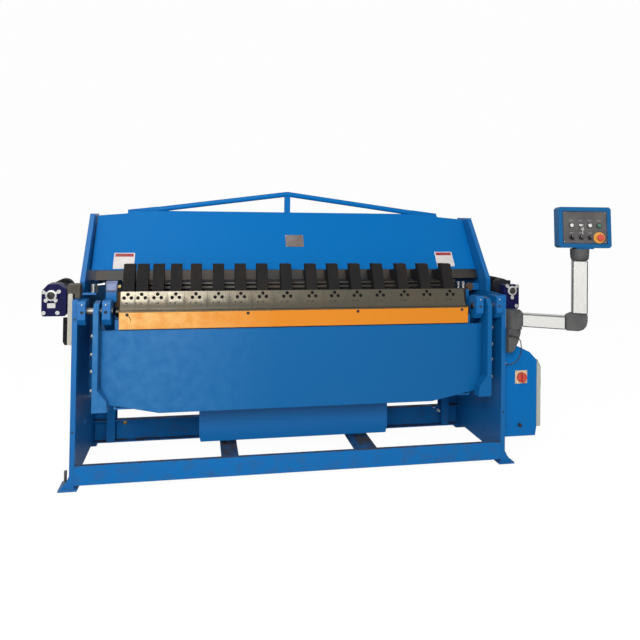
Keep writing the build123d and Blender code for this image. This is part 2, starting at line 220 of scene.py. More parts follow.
# The side plates are flame cut from 28 mm steel plate, welded to their feet and painted
# a strong semi-gloss blue, with dust on what faces up and chipped paint at the edges.
paint, inside, outside = new_group(
    "shop paint",
    [
        ("Paint", "Color", (0.1, 0.2, 0.5, 1)),
        ("Faded", "Color", (0.1, 0.2, 0.5, 1)),
        ("Primer", "Color", (0.05, 0.05, 0.05, 1)),
        ("Dust", "Color", (0.12, 0.1, 0.08, 1)),
        ("Pale", "Color", (0.6, 0.6, 0.6, 1)),
        ("Wear", "Float", 0.5),
        ("Dirt", "Float", 0.5),
        ("Painted sheen", "Float", 0.0),
        ("Roughness", "Float", 0.35),
    ],
    [("Colour", "Color"), ("Roughness", "Float"), ("Metallic", "Float"), ("Normal", "Vector")],
)
broad = noise(paint, 2.6, 4.0)
patchy = noise(paint, 17.0, 6.0)
fine = noise(paint, 130.0, 4.0)
soft = rounded_normal(paint, 0.0022)
flat = paint.nodes.new("ShaderNodeNewGeometry")
across = paint.nodes.new("ShaderNodeVectorMath")
across.operation = "DOT_PRODUCT"
paint.links.new(soft, across.inputs[0])
paint.links.new(flat.outputs["Normal"], across.inputs[1])
edge = span(paint, across.outputs["Value"], 0.995, 0.86)
chips = maths(paint, "MULTIPLY", edge, span(paint, patchy, 0.52, 0.60))
chips = maths(paint, "MULTIPLY", chips, inside.outputs["Wear"], True)
upward_face = add_node(paint, "SeparateXYZ", Vector=flat.outputs["Normal"]).outputs["Z"]
settled = span(paint, upward_face, 0.75, 0.98)
settled = maths(paint, "MULTIPLY", settled, span(paint, patchy, 0.30, 0.62, 0.35, 1.0))
settled = maths(paint, "MULTIPLY", settled, inside.outputs["Dirt"], True)
spot = add_node(paint, "SeparateXYZ", Vector=paint.nodes.new("ShaderNodeTexCoord").outputs["Object"])
splash = span(paint, spot.outputs["Z"], 0.30, 0.0)
splash = maths(paint, "MULTIPLY", splash, span(paint, patchy, 0.45, 0.75, 0.0, 0.45))
splash = maths(paint, "MULTIPLY", splash, inside.outputs["Dirt"], True)
fading = span(paint, broad, 0.35, 0.70, 0.0, 0.22)
tone = blended(paint, fading, inside.outputs["Paint"], inside.outputs["Faded"])
# Painted sheen: left of X = -0.15 m the paint is mixed toward the pale colour, a painted highlight for
# light falling from the left.
painted_sheen = span(paint, spot.outputs["X"], -0.15, -1.0)
painted_sheen = maths(paint, "MULTIPLY", painted_sheen, span(paint, patchy, 0.35, 0.62, 0.35, 1.0))
painted_sheen = maths(paint, "MULTIPLY", painted_sheen, inside.outputs["Painted sheen"], True)
tone = blended(paint, painted_sheen, tone, inside.outputs["Pale"])
tone = blended(paint, splash, tone, inside.outputs["Dust"])
tone = blended(paint, settled, tone, inside.outputs["Dust"])
tone = blended(paint, chips, tone, inside.outputs["Primer"])
gloss = maths(paint, "ADD", inside.outputs["Roughness"], span(paint, patchy, 0.3, 0.7, -0.06, 0.10))
gloss = maths(paint, "ADD", gloss, maths(paint, "MULTIPLY", settled, 0.4), True)
skin = maths(paint, "ADD", maths(paint, "MULTIPLY", fine, 0.5), maths(paint, "MULTIPLY", chips, -1.5))
bump = add_node(paint, "Bump", Strength=0.25, Distance=0.0006, Height=skin, Normal=soft)
paint.links.new(tone, outside.inputs["Colour"])
paint.links.new(gloss, outside.inputs["Roughness"])
paint.links.new(maths(paint, "MULTIPLY", chips, 0.6), outside.inputs["Metallic"])
paint.links.new(bump.outputs[0], outside.inputs["Normal"])


def bare_selection():
    if bpy.context.object and bpy.context.object.mode != "OBJECT":
        bpy.ops.object.mode_set(mode="OBJECT")
    bpy.ops.object.select_all(action="DESELECT")


def picked(piece):
    bare_selection()
    piece.select_set(True)
    bpy.context.view_layer.objects.active = piece


def settle(piece, name):
    picked(piece)
    bpy.ops.object.transform_apply(location=True, rotation=True, scale=True)
    piece.name = name
    return piece


def cube(name, low, high):
    bare_selection()
    middle = [(a + b) / 2 for a, b in zip(low, high)]
    bpy.ops.mesh.primitive_cube_add(size=1, location=middle)
    piece = bpy.context.object
    piece.scale = [b - a for a, b in zip(low, high)]
    return settle(piece, name)


def drum(name, radius, start, end, sides=32):
    bare_selection()
    start, end = Vector(start), Vector(end)
    bpy.ops.mesh.primitive_cylinder_add(vertices=sides, radius=radius, depth=(end - start).length)
    piece = bpy.context.object
    piece.rotation_mode = "QUATERNION"
    piece.rotation_quaternion = (end - start).to_track_quat("Z", "Y")
    piece.location = (start + end) / 2
    return settle(piece, name)


def choose(piece, kind, rule):
    picked(piece)
    bpy.ops.object.mode_set(mode="EDIT")
    bpy.ops.mesh.select_mode(type=kind)
    bpy.ops.mesh.select_all(action="DESELECT")
    bpy.ops.object.mode_set(mode="OBJECT")
    points = piece.data.vertices
    if kind == "FACE":
        for face in piece.data.polygons:
            face.select = bool(rule(face.center, face.normal))
    else:
        for line in piece.data.edges:
            one, two = points[line.vertices[0]].co, points[line.vertices[1]].co
            line.select = bool(rule((one + two) / 2, (two - one).normalized()))
    bpy.ops.object.mode_set(mode="EDIT")


def modify(piece, kind, **settings):
    picked(piece)
    modifier = piece.modifiers.new(kind.title(), kind)
    for name, value in settings.items():
        setattr(modifier, name, value)
    bpy.ops.object.modifier_apply(modifier=modifier.name)


def smooth(piece, angle=35):
    picked(piece)
    bpy.ops.object.shade_smooth_by_angle(angle=radians(angle))


def rounded(piece, width, segments=2, angle=40):
    smooth(piece)
    shape = {"width": width, "segments": segments, "limit_method": "ANGLE", "angle_limit": radians(angle)}
    modify(piece, "BEVEL", harden_normals=True, **shape)


def joined(name, pieces):
    bare_selection()
    for piece in pieces:
        piece.select_set(True)
    bpy.context.view_layer.objects.active = pieces[0]
    bpy.ops.object.join()
    pieces[0].name = name
    return pieces[0]


def shift(x, y, z):
    return Matrix.Translation((x, y, z))


def spin(angle, axis):
    return Matrix.Rotation(angle, 4, axis)


def placed(master, name, spots):
    twins = []
    for spot in spots:
        twin = master.copy()
        twin.data = master.data.copy()
        twin.data.transform(spot)
        bpy.context.scene.collection.objects.link(twin)
        twins.append(twin)
    bpy.data.objects.remove(master)
    return joined(name, twins)


def fitted(piece, material, body):
    painted(piece, material)
    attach(piece, body)
    return piece


def shaped(name, radius_steps, sides=32, place=None):
    (radius, start), (last, level) = radius_steps[:2]
    piece = drum(name, radius, (0, 0, start), (0, 0, level), sides)
    choose(piece, "FACE", lambda c, n: n.z > 0.9)
    if last != radius:
        bpy.ops.transform.resize(value=(last / radius, last / radius, 1))
    for radius, step in radius_steps[2:]:
        bpy.ops.mesh.extrude_region_move(TRANSFORM_OT_translate={"value": (0, 0, step - level)})
        bpy.ops.transform.resize(value=(radius / last, radius / last, 1))
        last, level = radius, step
    bpy.ops.mesh.select_all(action="SELECT")
    bpy.ops.mesh.normals_make_consistent(inside=False)
    bpy.ops.object.mode_set(mode="OBJECT")
    if place:
        piece.data.transform(place)
    smooth(piece)
    return piece


def recast(name, node, width=0.0, segments=2, angle=28, cutter=None):
    piece = nodes[node].copy()
    piece.data = nodes[node].data.copy()
    piece.name = name
    bpy.context.scene.collection.objects.link(piece)
    picked(piece)
    bpy.ops.object.mode_set(mode="EDIT")
    bpy.ops.mesh.select_all(action="SELECT")
    bpy.ops.mesh.remove_doubles(threshold=0.00005)
    bpy.ops.object.mode_set(mode="OBJECT")
    bpy.ops.mesh.customdata_custom_splitnormals_clear()
    modify(piece, "DECIMATE", decimate_type="DISSOLVE", angle_limit=radians(1))
    if cutter:
        modify(piece, "BOOLEAN", operation="DIFFERENCE", solver="EXACT", object=cutter)
        bpy.data.objects.remove(cutter)
        smooth(piece)
    else:
        rounded(piece, width, segments, angle)
    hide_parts(node)
    return piece


def paint_finish(
    name, tint, wear, dirt, roughness, coat=0.0, coat_blur=0.03, painted_sheen=0.0, pale=(0, 0, 0, 1)
):
    values = {"Paint": tint, "Wear": wear, "Dirt": dirt, "Roughness": roughness, "Painted sheen": painted_sheen}
    values["Faded"] = [0.9 * value + 0.005 for value in tint[:3]] + [1.0]
    values["Primer"] = colour(70, 66, 60)
    values["Dust"] = colour(72, 66, 58)
    values["Pale"] = pale
    return dressed(name, paint, values, coat=coat, shine=0.08, coat_blur=coat_blur)


facing = spin(pi / 2, "X")
blue_paint = paint_finish("blue_paint", colour(14, 98, 162), 0.8, 0.15, 0.40, 0.4, 0.3)
for name in ("left", "right"):
    plate = recast("side_plate_" + name, "side_frame_" + name, 0.0035, 3)
    fitted(plate, blue_paint, "frame")
plug = [(0.006, -0.003), (0.006, 0.0010), (0.0045, 0.0012), (0.0035, 0.0002)]
plug = shaped("plate_plug", plug, 20)
holes = [shift(x, -0.36, z) @ facing for x, z in ((-1.246, 0.916), (-1.246, 0.309), (1.246, 0.311))]
plug_black = moulded_finish("plug_black", colour(22, 24, 30), 0.4)
fitted(placed(plug, "plate_plugs", holes), plug_black, "frame")


# Each foot is bolted down with a zinc plated M16 stud, a washer and a hexagon nut. The
# studs are cast into the floor and stand proud of the nuts by different amounts.
def hexagon_head(name, across, thick):
    head = drum(name, across / 3 ** 0.5, (0, 0, 0), (0, 0, thick), 6)
    choose(head, "FACE", lambda c, n: n.z > 0.9)
    bpy.ops.mesh.inset(thickness=across * 0.06)
    bpy.ops.transform.translate(value=(0, 0, thick * 0.12))
    bpy.ops.object.mode_set(mode="OBJECT")
    rounded(head, across * 0.02, 2)
    return head


steel, inside, outside = new_group(
    "machined steel",
    [
        ("Colour", "Color", (0.5, 0.5, 0.5, 1)),
        ("Stain", "Color", (0.2, 0.15, 0.1, 1)),
        ("Stained", "Float", 0.3),
        ("Roughness", "Float", 0.35),
        ("Grain", "Vector", (30.0, 600.0, 600.0)),
    ],
    [("Colour", "Color"), ("Roughness", "Float"), ("Normal", "Vector")],
)
place = steel.nodes.new("ShaderNodeTexCoord").outputs["Object"]
drawn = add_node(steel, "Mapping", Vector=place, Scale=inside.outputs["Grain"]).outputs[0]
lines = add_node(steel, "TexNoise", Vector=drawn, Scale=1.0, Detail=3.0).outputs["Fac"]
blotch = noise(steel, 9.0, 6.0)
spots = noise(steel, 55.0, 5.0)
mask = maths(steel, "MULTIPLY", span(steel, blotch, 0.42, 0.70), span(steel, spots, 0.35, 0.65, 0.4, 1.0))
mask = maths(steel, "MULTIPLY", mask, inside.outputs["Stained"], True)
scratched = span(steel, lines, 0.3, 0.7, 0.0, 0.18)
streak = blended(steel, scratched, inside.outputs["Colour"], (0.05, 0.05, 0.05, 1))
tone = blended(steel, mask, streak, inside.outputs["Stain"])
gloss = maths(steel, "ADD", inside.outputs["Roughness"], span(steel, lines, 0.3, 0.7, -0.06, 0.08))
gloss = maths(steel, "ADD", gloss, maths(steel, "MULTIPLY", mask, 0.3), True)
edge = rounded_normal(steel, 0.0008)
bump = add_node(steel, "Bump", Strength=0.15, Distance=0.0002, Height=lines, Normal=edge)
steel.links.new(tone, outside.inputs["Colour"])
steel.links.new(gloss, outside.inputs["Roughness"])
steel.links.new(bump.outputs[0], outside.inputs["Normal"])


def steel_finish(name, tint, stained, roughness, grain=(30.0, 600.0, 600.0), metallic=1.0):
    values = {"Colour": tint, "Stained": stained, "Roughness": roughness, "Grain": grain}
    values["Stain"] = colour(96, 72, 50)
    return dressed(name, steel, values, metallic=metallic)


zinc = steel_finish("zinc_plate", colour(128, 127, 120), 0.6, 0.34, (300.0, 300.0, 300.0))
blackened = steel_finish("blackened_steel", colour(40, 39, 38), 0.5, 0.5, (200.0, 200.0, 200.0), 0.3)
outer_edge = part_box("side_frame_right")[1].x
bolt_x, bolt_y, foot_top, washer_thick = outer_edge - 0.028, 0.315, 0.010, 0.003
nut = hexagon_head("anchor_nut", 0.024, 0.013)
washer = drum("anchor_washer", 0.016, (0, 0, -washer_thick), (0, 0, 0))
rounded(washer, 0.0006)
sets = []
for name, x, y, proud in (
    ("rear_left", -1, 1, 0.030),
    ("rear_right", 1, 1, 0.026),
    ("front_right", 1, -1, 0.028),
    ("front_left", -1, -1, 0.078),
):
    stud = drum("stud_" + name, 0.008, (0, 0, -washer_thick), (0, 0, proud), 20)
    choose(stud, "FACE", lambda c, n: n.z > 0.9)
    bpy.ops.mesh.inset(thickness=0.0012)
    bpy.ops.transform.translate(value=(0, 0, 0.0012))
    bpy.ops.object.mode_set(mode="OBJECT")
    smooth(stud)
    place = shift(x * bolt_x, y * bolt_y, foot_top + washer_thick)
    stud.data.transform(place)
    sets.append(stud)
    for part in (nut, washer):
        twin = part.copy()
        twin.data = part.data.copy()
        twin.data.transform(place)
        bpy.context.scene.collection.objects.link(twin)
        sets.append(twin)
bpy.data.objects.remove(nut)
bpy.data.objects.remove(washer)
fitted(joined("floor_anchors", sets), zinc, "frame")


# The base: an angle iron at the front, a deep channel at the rear and two ties between
# them, welded up from sheet and painted with the rest. The front angle catches the dust,
# and brass and plastic plugs close the holes in the rear channel.
dusty_blue = paint_finish("dusty_blue", colour(20, 104, 170), 0.8, 0.9, 0.45)
for name in ("front_rail", "rear_rail", "rail_posts"):
    fitted(recast("welded_" + name, name, 0.0015), dusty_blue, "frame")
painted(nodes["base_ties"], dusty_blue)
plug_steps = [(0.014, -0.002), (0.014, 0.006), (0.010, 0.006), (0.009, 0.016), (0.004, 0.018)]
brass = steel_finish("brass", colour(168, 140, 84), 0.4, 0.35, (300.0, 300.0, 300.0))
plug = shaped("brass_plug", plug_steps, 24, shift(-1.045, 0.29, 0.135) @ facing)
fitted(plug, brass, "frame")
white = moulded_finish("white_plastic", colour(222, 222, 218), 0.35, 1500.0)
sleeve = [(0.011, -0.002), (0.011, 0.004), (0.008, 0.004), (0.008, 0.022), (0.005, 0.022)]
sleeve = shaped("sleeve", sleeve, 24)
sleeves = [shift(x, 0.29, z) @ facing for x, z in ((1.059, 0.147), (1.096, 0.117))]
fitted(placed(sleeve, "cable_sleeves", sleeves), white, "frame")


# The lower beam: a ground steel table on a welded box girder, with a deeper middle box
# that keeps the bed from sagging. The box is fabricated from folded plate and painted.
ground_steel = steel_finish("ground_steel", colour(90, 86, 75), 0.30, 0.30)
fitted(recast("ground_table", "bed_table", 0.0008), ground_steel, "frame")
for name in ("bed_girder", "bed_back_plate", "bed_deep_box"):
    painted(nodes[name], blue_paint)


# Hinge blocks are cut from thick plate, drilled for the pivot pins of the folding beam
# and welded to the frame. A bright grease nipple and a black clamp screw show on each.
def from_line(x, back, up):
    return Vector((x, back - 325, up + 953)) / 1000


def at_line(x, back, up):
    return shift(*from_line(x, back, up))


def leaning(x, back, up, lean=0.0):
    return at_line(x, back, up) @ spin(pi / 2 - lean, "X")


def sunk_screw(name, radius):
    steps = [(radius, -0.002), (radius, 0.0012), (radius * 0.55, 0.0015), (radius * 0.5, 0.0002)]
    return shaped(name, steps, 20)


bright_steel = steel_finish("bright_steel", colour(190, 190, 186), 0.2, 0.26, (400.0, 400.0, 400.0))
black = moulded_finish("black_plastic", colour(24, 24, 26), 0.45, 1500.0)
for side in ("left", "right"):
    block = recast("pivot_block_" + side, "hinge_blocks_" + side, 0.003, 3)
    fitted(block, blue_paint, "frame")
pin_steel = steel_finish("pin_steel", colour(120, 120, 118), 0.4, 0.3, (400.0, 400.0, 400.0))
painted(nodes["hinge_pins"], pin_steel)
block_x = (-1206, -1083, 1083, 1206)
nipple = [(0.005, -0.002), (0.005, 0.003), (0.003, 0.004), (0.0035, 0.009), (0.002, 0.011)]
nipple = shaped("nipple", nipple, 16)
fitted(placed(nipple, "grease_nipples", [leaning(x, -55, 42) for x in block_x]), bright_steel, "frame")
clamp_screw = sunk_screw("clamp_screw", 0.008)
fitted(placed(clamp_screw, "block_screws", [leaning(x, -55, 2) for x in block_x]), black, "frame")


# The folding beam swings up round the folding line: a wide apron of bent plate between
# two arms, an orange filler bar and a hard steel edge along its top. Hexagon screws hold
# the arms, and four countersunk screws hold the bar, one with an old drip of oil under it.
# The apron and the orange filler bar get a painted sheen: paler paint toward their left ends stands for a
# highlight.
sheen_blue = colour(98, 158, 208)
# The apron blue is mixed darker than blue_paint for the same machine paint: painted shade on the apron,
# arms and backing.
apron_blue = paint_finish("apron_blue", colour(10, 92, 150), 0.7, 0.5, 0.36, 0.2, 0.3, 0.2, sheen_blue)
fitted(recast("folding_apron", "apron_plate", 0.0025), apron_blue, "folding_beam")
painted(nodes["apron_backing"], apron_blue)
for side in ("left", "right"):
    arm = recast("folding_arm_" + side, "fold_arm_" + side, 0.004, 3)
    fitted(arm, apron_blue, "folding_beam")
sheen_orange = colour(232, 190, 118)
orange_paint = paint_finish(
    "orange_paint", colour(212, 128, 30), 0.9, 0.5, 0.40, 0.35, 0.3, 0.8, sheen_orange
)
edge_steel = steel_finish("edge_steel", colour(112, 100, 78), 0.5, 0.32)
for name, node, width, finish, slot, share in (
    ("filler_bar", "fold_bar", 0.0012, orange_paint, "orange_paint", 0.993),
    ("folding_edge", "fold_edge", 0.0005, edge_steel, "ground_steel", 0.985),
):
    bar = fitted(recast(name, node, width), finish, "folding_beam")
    bar.data.transform(Matrix.Diagonal((share, 1, 1, 1)))
arm_bolt = hexagon_head("arm_bolt", 0.019, 0.009)
bolt_spots = []
for side in (-1, 1):
    for up in (-121, -220, -311, -414):
        bolt_spots.append(at_line(side * 1144, -72, up) @ spin(side * pi / 2, "Y"))
fitted(placed(arm_bolt, "arm_bolts", bolt_spots), zinc, "folding_beam")
screw_face = -25
bar_screws = [leaning(x, screw_face, -19) for x in (-975, -313, 330, 978)]
fitted(placed(sunk_screw("bar_screw", 0.009), "bar_screws", bar_screws), black, "folding_beam")
run = [(-972, -26), (-962, -31), (-956, -42), (-956, -58)]
run = [from_line(x, screw_face - 0.2, up) for x, up in run]
picked(round_line("oil_drip", run, 0.0018, 2, (1.0, 1.3, 1.0, 0.4)))
bpy.ops.object.convert(target="MESH")
fitted(bpy.context.object, moulded_finish("old_oil", colour(62, 44, 22), 0.3), "folding_beam")


# The clamping beam is a leaning panel with a flame cut bar under it, a rear box and a truss
# of round tube welded on top. A blank aluminium plate is riveted to its middle, and a blank
# white sticker with a plain red band is stuck near each end.
panel_lean = radians(33.3)
bare_steel = steel_finish("bare_steel", colour(64, 64, 63), 0.4, 0.42, (20.0, 300.0, 300.0))
# The panel blue is mixed brighter than blue_paint for the same machine paint: painted light on the
# leaning panel, rear box and truss.
panel_blue = paint_finish("panel_blue", colour(4, 103, 172), 0.7, 0.5, 0.36)
for name, node, width, finish, slot, reach in (
    ("leaning_panel", "beam_panel", 0.003, panel_blue, "blue_paint", 0.004),
    ("flame_cut_bar", "clamp_bar", 0.0015, bare_steel, "bare_steel", 0.030),
):
    piece = fitted(recast(name, node, width), finish, "clamping_beam")
    choose(piece, "EDGE", lambda c, d: c.x > 1.1)
    bpy.ops.transform.translate(value=(reach, 0, 0))
    bpy.ops.object.mode_set(mode="OBJECT")
for name in ("beam_box", "beam_truss"):
    painted(nodes[name], panel_blue)


def on_panel(x, up, lift=0.0):
    return leaning(x, 319 + (up - 192) * 0.6569, up, panel_lean) @ shift(0, 0, lift)


def plate_on(name, width, height, thick, corner=0.004):
    plate = cube(name, (-width / 2, -height / 2, 0), (width / 2, height / 2, thick))
    choose(plate, "EDGE", lambda c, d: abs(d.z) > 0.9)
    bpy.ops.mesh.bevel(offset=corner, segments=4, affect="EDGES")
    bpy.ops.object.mode_set(mode="OBJECT")
    return plate


aluminium = steel_finish("plate_aluminium", colour(122, 118, 119), 0.9, 0.4, (60.0, 160.0, 160.0), 0.5)
nameplate = plate_on("nameplate", 0.119, 0.088, 0.0012)
choose(nameplate, "FACE", lambda c, n: n.z > 0.9)
bpy.ops.mesh.inset(thickness=0.001)
bpy.ops.transform.resize(value=(0.86, 0.80, 1))
bpy.ops.mesh.inset(thickness=0.0006, depth=-0.0006)
bpy.ops.object.mode_set(mode="OBJECT")
plate_x, plate_up = 20, 368
nameplate.data.transform(on_panel(plate_x, plate_up))
fitted(nameplate, aluminium, "clamping_beam")
rivet = shaped("rivet", [(0.003, 0), (0.003, 0.0018), (0.002, 0.0026), (0.0008, 0.003)], 16)
rivets = [(x, y) for x in (-0.054, 0.054) for y in (-0.039, 0.039)]
rivets = [on_panel(plate_x, plate_up, 0.001) @ shift(x, y, 0) for x, y in rivets]
fitted(placed(rivet, "plate_rivets", rivets), bright_steel, "clamping_beam")
sticker_white = moulded_finish("sticker_white", colour(214, 208, 206), 0.45)
band_red = moulded_finish("band_red", colour(150, 40, 52), 0.45)
stickers = [on_panel(-1040, 246), on_panel(1026, 255)]
sticker = plate_on("sticker", 0.123, 0.110, 0.0004)
fitted(placed(sticker, "blank_stickers", stickers), sticker_white, "clamping_beam")
band = plate_on("band", 0.108, 0.022, 0.0003, 0.002)
bands = [place @ shift(0, 0.039, 0.0004) for place in stickers]
fitted(placed(band, "sticker_bands", bands), band_red, "clamping_beam")


# Sixteen blued steel fingers hang under the bar, each with a ground nose blade held by
# three sunk socket screws. A blade is stamped with its place in the row and its width in
# millimetres. Two bright flats run along the rail behind the fingers.
black_oxide = steel_finish("black_oxide", colour(24, 24, 25), 0.10, 0.7, (250.0, 250.0, 250.0), 0.0)
black_oxide.node_tree.nodes["Principled BSDF"].inputs["Specular IOR Level"].default_value = 0.08
fitted(recast("blued_fingers", "finger_holders", 0.0012), black_oxide, "clamping_beam")
widths = (80, 70, 105, 95, 130, 125, 130, 125, 160, 140, 130, 145, 140, 165, 120, 180)
blade_lean = radians(16.57)


def on_blade(x, up, lift=0.0):
    return leaning(x, 27.5 + (up - 19) * 0.2975, up, blade_lean) @ shift(0, 0, lift)


def stamped(text, size, place):
    letters = bpy.data.curves.new("stamp_" + text, "FONT")
    letters.body = text
    letters.size = size
    letters.extrude = 0.0002
    letters.offset = 0.0006
    letters.resolution_u = 3
    mark = bpy.data.objects.new("stamp_" + text, letters)
    bpy.context.scene.collection.objects.link(mark)
    picked(mark)
    bpy.ops.object.convert(target="MESH")
    mark = bpy.context.object
    mark.data.transform(place)
    return mark


edge_x = -sum(widths) / 2
hole_spots = []
marks = []
for number, width in enumerate(widths, 1):
    middle = edge_x + width / 2
    hole_spots += [on_blade(middle + dx, up) for dx, up in ((0, 83), (-20, 64), (20, 64))]
    marks.append(stamped(str(number), 0.014, on_blade(middle - 34, 31)))
    marks.append(stamped(str(width), 0.012, on_blade(middle - 10, 31)))
    edge_x += width
counterbore = drum("counterbore", 0.0100, (0, 0, -0.012), (0, 0, 0.004), 24)
blades = recast("drilled_blades", "nose_blades", cutter=placed(counterbore, "counterbores", hole_spots))
fitted(blades, ground_steel, "clamping_beam")
socket = [(0.0098, -0.0122), (0.0098, -0.0090), (0.005, -0.0090), (0.0048, -0.0112)]
socket = shaped("socket", socket, 18)
fitted(placed(socket, "blade_screws", hole_spots), black_oxide, "clamping_beam")
stamp_dark = moulded_finish("stamped_mark", colour(30, 28, 24), 0.8)
fitted(joined("blade_stamps", marks), stamp_dark, "clamping_beam")


def bar_at(name, x, back, up, width=0.0008):
    low, high = (from_line(*end) for end in zip(x, back, up))
    bar = cube(name, low, high)
    rounded(bar, width)
    return bar


# A black strip on the rail's front behind the fingers is painted shade for the shadow under the bar.
fitted(bar_at("rail_shade_strip", (-1029, 1029), (186.5, 190.5), (76, 136)), black_oxide, "clamping_beam")
flats = [bar_at("flat", (-1020, 1020), (183, 187), span_up) for span_up in ((122, 131), (96, 109))]
flat_steel = steel_finish("flat_steel", colour(112, 110, 104), 0.6, 0.42, (20.0, 300.0, 300.0))
fitted(joined("rail_flats", flats), flat_steel, "clamping_beam")


# A polished rod of 56 mm lifts each end of the clamping beam, out of a black cylinder on
# the frame with a sheet guard before it. An alloy valve block with a brass union, a lever,
# threaded adjusters and a small pulley are bolted on beside the cylinders.
chrome = steel_finish("chrome_rod", colour(205, 205, 205), 0.05, 0.14, (400.0, 400.0, 40.0))
painted(nodes["clamp_rods"], chrome)
painted(nodes["clamp_cylinders"], blackened)
dusty_alloy = steel_finish("dusty_alloy", colour(132, 146, 182), 0.5, 0.5, (200.0, 200.0, 200.0), 0.3)
valve = bar_at("valve", (-1104, -1042), (78, 124), (92, 152), 0.003)
choose(valve, "FACE", lambda c, n: n.y < -0.9 and abs(c.z - 1.075) < 0.02)
bpy.ops.mesh.inset(thickness=0.006, depth=-0.002)
bpy.ops.object.mode_set(mode="OBJECT")
fitted(valve, dusty_alloy, "frame")
seats = [bar_at("seat", (-1104, -1044), (74, 126), (38, 92), 0.003)]
seats.append(bar_at("bracket", (-1230, -1152), (62, 112), (80, 90), 0.002))
seats.append(bar_at("seat", (1044, 1104), (150, 215), (10, 78), 0.003))
fitted(joined("fitting_brackets", seats), blue_paint, "frame")
guards = [bar_at("guard", x, (349, 356), (-42, 131), 0.002) for x in ((-1231, -1046), (1046, 1231))]
# The guards are mixed a much darker blue than the machine paint: painted shade for the deep shade they
# stand in.
shaded_guard_blue = paint_finish("shaded_guard_blue", colour(16, 52, 84), 0.8, 0.9, 0.5)
fitted(joined("cylinder_guards", guards), shaded_guard_blue, "frame")
stops = [bar_at("stop", x, (90, 130), (0.3, 92), 0.003) for x in ((-1056, -1025), (1025, 1056))]
oily_steel = steel_finish("oily_steel", colour(66, 56, 44), 0.8, 0.5)
fitted(joined("table_end_stops", stops), oily_steel, "frame")
union = [(0.011, 0), (0.011, 0.008), (0.015, 0.008), (0.015, 0.019), (0.009, 0.021)]
union = shaped("valve_union", union, 6, at_line(-1043, 100, 118) @ spin(pi / 2, "Y"))
fitted(union, brass, "frame")
ridge_gap = 0.004
thread = [(0.009, 0)]
for ridge in range(12):
    thread += [(0.011, 0.0015 + ridge * ridge_gap), (0.009, 0.0035 + ridge * ridge_gap)]
adjuster = shaped("adjuster", thread, 20)
spots = [at_line(*spot) for spot in ((-1172, 88, 90), (1046, 182, 78), (1078, 182, 78))]
fitted(placed(adjuster, "threaded_adjusters", spots), bright_steel, "frame")
lever = [(0.006, 0), (0.006, 0.030), (0.009, 0.032), (0.009, 0.044), (0.005, 0.046)]
lever = shaped("lever", lever, 20, at_line(-1152, 88, 132) @ spin(radians(82), "Y"))
fitted(lever, bright_steel, "frame")
stalk = bar_at("lever_stalk", (-1156, -1148), (82, 94), (88, 136), 0.001)
fitted(stalk, blackened, "frame")
disc = [(0.027, 0), (0.027, 0.006), (0.020, 0.006), (0.018, 0.012), (0.010, 0.012)]
disc = shaped("pulley", disc, 40, at_line(1157, 262, 82) @ facing)
rusty_steel = steel_finish("rusty_steel", colour(92, 70, 52), 0.8, 0.6, (200.0, 200.0, 200.0), 0.4)
fitted(disc, rusty_steel, "frame")
hanger = bar_at("pulley_bracket", (1140, 1230), (263, 272), (60, 104), 0.002)
fitted(hanger, blue_paint, "frame")


